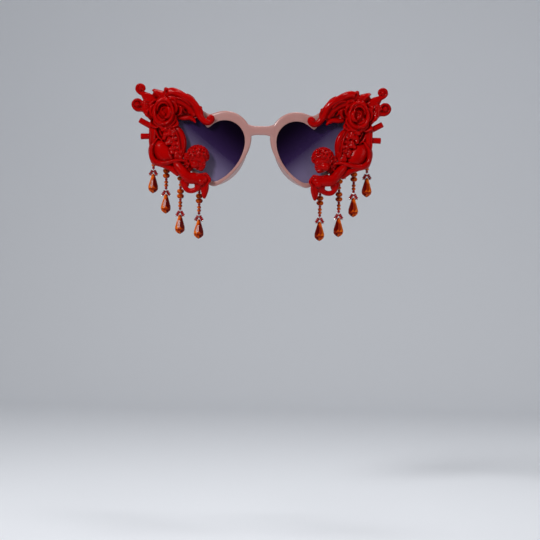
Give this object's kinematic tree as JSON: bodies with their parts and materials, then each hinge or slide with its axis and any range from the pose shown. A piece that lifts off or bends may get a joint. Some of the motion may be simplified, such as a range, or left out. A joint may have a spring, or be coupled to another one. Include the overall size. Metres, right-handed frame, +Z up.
{
  "type": "heart shaped sunglasses",
  "caption": "Chunky heart shaped sunglasses with gradient lenses, cast acanthus, rose and winged cherub ornaments over the outer halves, and swinging bead dangles with drops.",
  "frame": {"origin": "under the middle of the nose bridge, on its underside, midway through the front's thickness", "axes": "+X to the right as seen from in front, +Y back along the temples, +Z up"},
  "size_m": [0.2004, 0.1654, 0.12],
  "materials": {
    "pink_plastic": "polished dusty pink moulded plastic",
    "tinted_lens": "gradient purple smoke, darker at the top",
    "red_resin": "glossy red lacquered resin",
    "amber_glass": "faceted amber glass",
    "seed_glass": "dark red glass",
    "steel": "bright plated wire and hinge leaves"
  },
  "bodies": {
    "front": {"front_frame": "pink_plastic", "left_lens": "tinted_lens", "left_front_hinge": "steel", "left_hinge_screw": "steel", "left_crest": "red_resin", "left_rose": "red_resin", "left_cherub": "red_resin", "left_eye_pins": "steel", "right_lens": "tinted_lens", "right_front_hinge": "steel", "right_hinge_screw": "steel", "right_crest": "red_resin", "right_rose": "red_resin", "right_cherub": "red_resin", "right_eye_pins": "steel"},
    "left_arm": {"left_temple": "pink_plastic", "left_temple_hinge": "steel"},
    "left_link_1": {"left_ring_1": "steel"},
    "left_strand_1": {"left_wire_1": "steel", "left_beads_1": "amber_glass"},
    "left_pendant_1": {"left_drop_1": "amber_glass"},
    "left_link_2": {"left_ring_2": "steel"},
    "left_strand_2": {"left_wire_2": "steel", "left_beads_2": "amber_glass"},
    "left_pendant_2": {"left_drop_2": "amber_glass"},
    "left_link_3": {"left_ring_3": "steel"},
    "left_strand_3": {"left_wire_3": "steel", "left_beads_3": "amber_glass"},
    "left_pendant_3": {"left_drop_3": "amber_glass"},
    "left_link_4": {"left_ring_4": "steel"},
    "left_strand_4": {"left_wire_4": "steel", "left_beads_4": "amber_glass"},
    "left_pendant_4": {"left_drop_4": "amber_glass"},
    "right_arm": {"right_temple": "pink_plastic", "right_temple_hinge": "steel"},
    "right_link_1": {"right_ring_1": "steel"},
    "right_strand_1": {"right_wire_1": "steel", "right_beads_1": "amber_glass"},
    "right_pendant_1": {"right_drop_1": "amber_glass"},
    "right_link_2": {"right_ring_2": "steel"},
    "right_strand_2": {"right_wire_2": "steel", "right_beads_2": "amber_glass"},
    "right_pendant_2": {"right_drop_2": "amber_glass"},
    "right_link_3": {"right_ring_3": "steel"},
    "right_strand_3": {"right_wire_3": "steel", "right_beads_3": "amber_glass"},
    "right_pendant_3": {"right_drop_3": "amber_glass"},
    "right_link_4": {"right_ring_4": "steel"},
    "right_strand_4": {"right_wire_4": "steel", "right_beads_4": "amber_glass"},
    "right_pendant_4": {"right_drop_4": "amber_glass"}
  },
  "joints": [
    {"name": "left_temple_fold", "type": "hinge", "parent": "front", "child": "left_arm", "pos_m": [-0.07486, 0.01555, 0.0065], "axis": [0, 0, -1], "range_deg": [0, 90]},
    {"name": "left_ring_1_swing", "type": "hinge", "parent": "front", "child": "left_link_1", "pos_m": [-0.08384, 0.00984, -0.00652], "axis": [0.9962, -0.0872, 0], "range_deg": [-8, 30]},
    {"name": "left_strand_1_sway", "type": "hinge", "parent": "left_link_1", "child": "left_strand_1", "pos_m": [-0.08384, 0.00984, -0.00877], "axis": [0.0872, 0.9962, 0], "range_deg": [-3, 12]},
    {"name": "left_drop_1_pitch", "type": "hinge", "parent": "left_strand_1", "child": "left_pendant_1", "pos_m": [-0.08384, 0.00984, -0.03267], "axis": [0.9962, -0.0872, 0], "range_deg": [-40, 40]},
    {"name": "left_ring_2_swing", "type": "hinge", "parent": "front", "child": "left_link_2", "pos_m": [-0.07358, 0.00895, -0.02231], "axis": [0.9962, -0.0872, 0], "range_deg": [-15, 30]},
    {"name": "left_strand_2_sway", "type": "hinge", "parent": "left_link_2", "child": "left_strand_2", "pos_m": [-0.07358, 0.00895, -0.02456], "axis": [0.0872, 0.9962, 0], "range_deg": [-3, 3]},
    {"name": "left_drop_2_pitch", "type": "hinge", "parent": "left_strand_2", "child": "left_pendant_2", "pos_m": [-0.07358, 0.00895, -0.04846], "axis": [0.9962, -0.0872, 0], "range_deg": [-40, 40]},
    {"name": "left_ring_3_swing", "type": "hinge", "parent": "front", "child": "left_link_3", "pos_m": [-0.06216, 0.00795, -0.02428], "axis": [0.9962, -0.0872, 0], "range_deg": [-5, 30]},
    {"name": "left_strand_3_sway", "type": "hinge", "parent": "left_link_3", "child": "left_strand_3", "pos_m": [-0.06216, 0.00795, -0.02653], "axis": [0.0872, 0.9962, 0], "range_deg": [-6, 6]},
    {"name": "left_drop_3_pitch", "type": "hinge", "parent": "left_strand_3", "child": "left_pendant_3", "pos_m": [-0.06216, 0.00795, -0.06433], "axis": [0.9962, -0.0872, 0], "range_deg": [-40, 40]},
    {"name": "left_ring_4_swing", "type": "hinge", "parent": "front", "child": "left_link_4", "pos_m": [-0.04732, 0.00665, -0.03782], "axis": [0.9962, -0.0872, 0], "range_deg": [-10, 30]},
    {"name": "left_strand_4_sway", "type": "hinge", "parent": "left_link_4", "child": "left_strand_4", "pos_m": [-0.04732, 0.00665, -0.04007], "axis": [0.0872, 0.9962, 0], "range_deg": [-10, 8]},
    {"name": "left_drop_4_pitch", "type": "hinge", "parent": "left_strand_4", "child": "left_pendant_4", "pos_m": [-0.04732, 0.00665, -0.06777], "axis": [0.9962, -0.0872, 0], "range_deg": [-40, 40]},
    {"name": "right_temple_fold", "type": "hinge", "parent": "front", "child": "right_arm", "pos_m": [0.07486, 0.01555, 0.0065], "axis": [0, 0, 1], "range_deg": [0, 85]},
    {"name": "right_ring_1_swing", "type": "hinge", "parent": "front", "child": "right_link_1", "pos_m": [0.08384, 0.00984, -0.00652], "axis": [0.9962, 0.0872, 0], "range_deg": [-8, 30]},
    {"name": "right_strand_1_sway", "type": "hinge", "parent": "right_link_1", "child": "right_strand_1", "pos_m": [0.08384, 0.00984, -0.00877], "axis": [0.0872, -0.9962, 0], "range_deg": [-3, 12]},
    {"name": "right_drop_1_pitch", "type": "hinge", "parent": "right_strand_1", "child": "right_pendant_1", "pos_m": [0.08384, 0.00984, -0.03267], "axis": [0.9962, 0.0872, 0], "range_deg": [-40, 40]},
    {"name": "right_ring_2_swing", "type": "hinge", "parent": "front", "child": "right_link_2", "pos_m": [0.07358, 0.00895, -0.02231], "axis": [0.9962, 0.0872, 0], "range_deg": [-15, 30]},
    {"name": "right_strand_2_sway", "type": "hinge", "parent": "right_link_2", "child": "right_strand_2", "pos_m": [0.07358, 0.00895, -0.02456], "axis": [0.0872, -0.9962, 0], "range_deg": [-3, 3]},
    {"name": "right_drop_2_pitch", "type": "hinge", "parent": "right_strand_2", "child": "right_pendant_2", "pos_m": [0.07358, 0.00895, -0.04846], "axis": [0.9962, 0.0872, 0], "range_deg": [-40, 40]},
    {"name": "right_ring_3_swing", "type": "hinge", "parent": "front", "child": "right_link_3", "pos_m": [0.06216, 0.00795, -0.02428], "axis": [0.9962, 0.0872, 0], "range_deg": [-5, 30]},
    {"name": "right_strand_3_sway", "type": "hinge", "parent": "right_link_3", "child": "right_strand_3", "pos_m": [0.06216, 0.00795, -0.02653], "axis": [0.0872, -0.9962, 0], "range_deg": [-6, 6]},
    {"name": "right_drop_3_pitch", "type": "hinge", "parent": "right_strand_3", "child": "right_pendant_3", "pos_m": [0.06216, 0.00795, -0.06433], "axis": [0.9962, 0.0872, 0], "range_deg": [-40, 40]},
    {"name": "right_ring_4_swing", "type": "hinge", "parent": "front", "child": "right_link_4", "pos_m": [0.04732, 0.00665, -0.03782], "axis": [0.9962, 0.0872, 0], "range_deg": [-10, 30]},
    {"name": "right_strand_4_sway", "type": "hinge", "parent": "right_link_4", "child": "right_strand_4", "pos_m": [0.04732, 0.00665, -0.04007], "axis": [0.0872, -0.9962, 0], "range_deg": [-10, 8]},
    {"name": "right_drop_4_pitch", "type": "hinge", "parent": "right_strand_4", "child": "right_pendant_4", "pos_m": [0.04732, 0.00665, -0.06777], "axis": [0.9962, 0.0872, 0], "range_deg": [-40, 40]}
  ]
}
